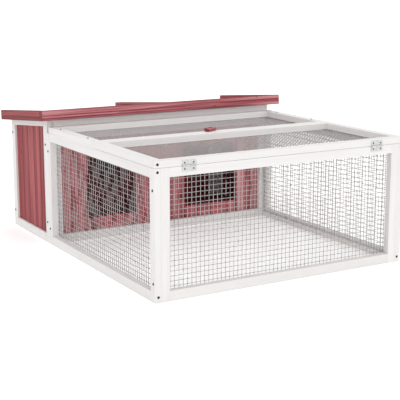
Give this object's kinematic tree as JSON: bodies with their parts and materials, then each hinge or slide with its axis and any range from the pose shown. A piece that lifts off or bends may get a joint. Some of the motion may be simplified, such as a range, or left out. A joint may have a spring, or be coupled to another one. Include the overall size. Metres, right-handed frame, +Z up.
{
  "type": "rabbit hutch",
  "caption": "Low wooden rabbit hutch: a small boarded house with a lean-to roof behind a floorless wire-mesh run with a hinged mesh lid.",
  "frame": {"origin": "middle of the footprint on the ground", "axes": "+Z up, +Y from the run towards the house, +X to the right when facing the run's front"},
  "size_m": [0.8, 0.966, 0.391],
  "materials": {
    "white_wood": "white-painted fir, satin",
    "red_wood": "red-stained fir, satin",
    "floor_wood": "red-stained floor board",
    "mesh_wire": "galvanised wire",
    "black_screw": "black",
    "hinge_steel": "zinc-plated"
  },
  "bodies": {
    "hutch": {"button_screw": "black_screw", "fixed_leaf_screws": "black_screw", "frame_screws": "black_screw", "front_bottom_rail": "white_wood", "front_left_stile": "white_wood", "front_mesh": "mesh_wire", "front_right_stile": "white_wood", "front_top_rail": "white_wood", "hinge_fixed_leaves": "hinge_steel", "hinge_pins": "hinge_steel", "house_floor": "floor_wood", "house_left_bottom_rail": "white_wood", "house_left_front_stile": "white_wood", "house_left_planks": "red_wood", "house_left_rear_stile": "white_wood", "house_left_top_rail": "white_wood", "house_right_bottom_rail": "white_wood", "house_right_front_stile": "white_wood", "house_right_planks": "red_wood", "house_right_rear_stile": "white_wood", "house_right_top_rail": "white_wood", "rear_wall_bottom_rail": "white_wood", "rear_wall_planks": "red_wood", "rear_wall_stiles": "white_wood", "rear_wall_top_rail": "white_wood", "run_left_bottom_rail": "white_wood", "run_left_front_stile": "white_wood", "run_left_mesh": "mesh_wire", "run_left_rear_stile": "white_wood", "run_left_top_rail": "white_wood", "run_right_bottom_rail": "white_wood", "run_right_front_stile": "white_wood", "run_right_mesh": "mesh_wire", "run_right_rear_stile": "white_wood", "run_right_top_rail": "white_wood", "top_front_rail": "white_wood", "top_left_rail": "white_wood", "top_mesh": "mesh_wire", "top_rear_rail": "white_wood", "top_right_rail": "white_wood", "wall_bottom_rail": "white_wood", "wall_header": "white_wood", "wall_planks": "red_wood", "wall_posts": "white_wood"},
    "lid": {"lid_front_rail": "white_wood", "lid_hinge_leaves": "hinge_steel", "lid_leaf_screws": "black_screw", "lid_left_rail": "white_wood", "lid_mesh": "mesh_wire", "lid_rear_rail": "white_wood", "lid_right_rail": "white_wood", "lid_screws": "black_screw"},
    "roof": {"roof_fascia": "red_wood", "roof_left_verge": "red_wood", "roof_right_verge": "red_wood", "roof_batten": "red_wood", "roof_deck": "red_wood", "roof_hinge_leaves": "hinge_steel", "roof_leaf_screws": "black_screw"},
    "turn_button": {"turn_button": "red_wood"}
  },
  "joints": [
    {"name": "lid_hinge", "type": "hinge", "parent": "hutch", "child": "lid", "pos_m": [0, -0.4807, 0.32475], "axis": [1, 0, 0], "range_deg": [0, 170]},
    {"name": "roof_hinge", "type": "hinge", "parent": "hutch", "child": "roof", "pos_m": [0, 0.4627, 0.33143], "axis": [-1, 0, 0], "range_deg": [0, 78]},
    {"name": "button_pivot", "type": "hinge", "parent": "hutch", "child": "turn_button", "pos_m": [-0.019, -0.1335, 0.342], "axis": [0, 0, 1], "range_deg": [-25, 155]}
  ]
}
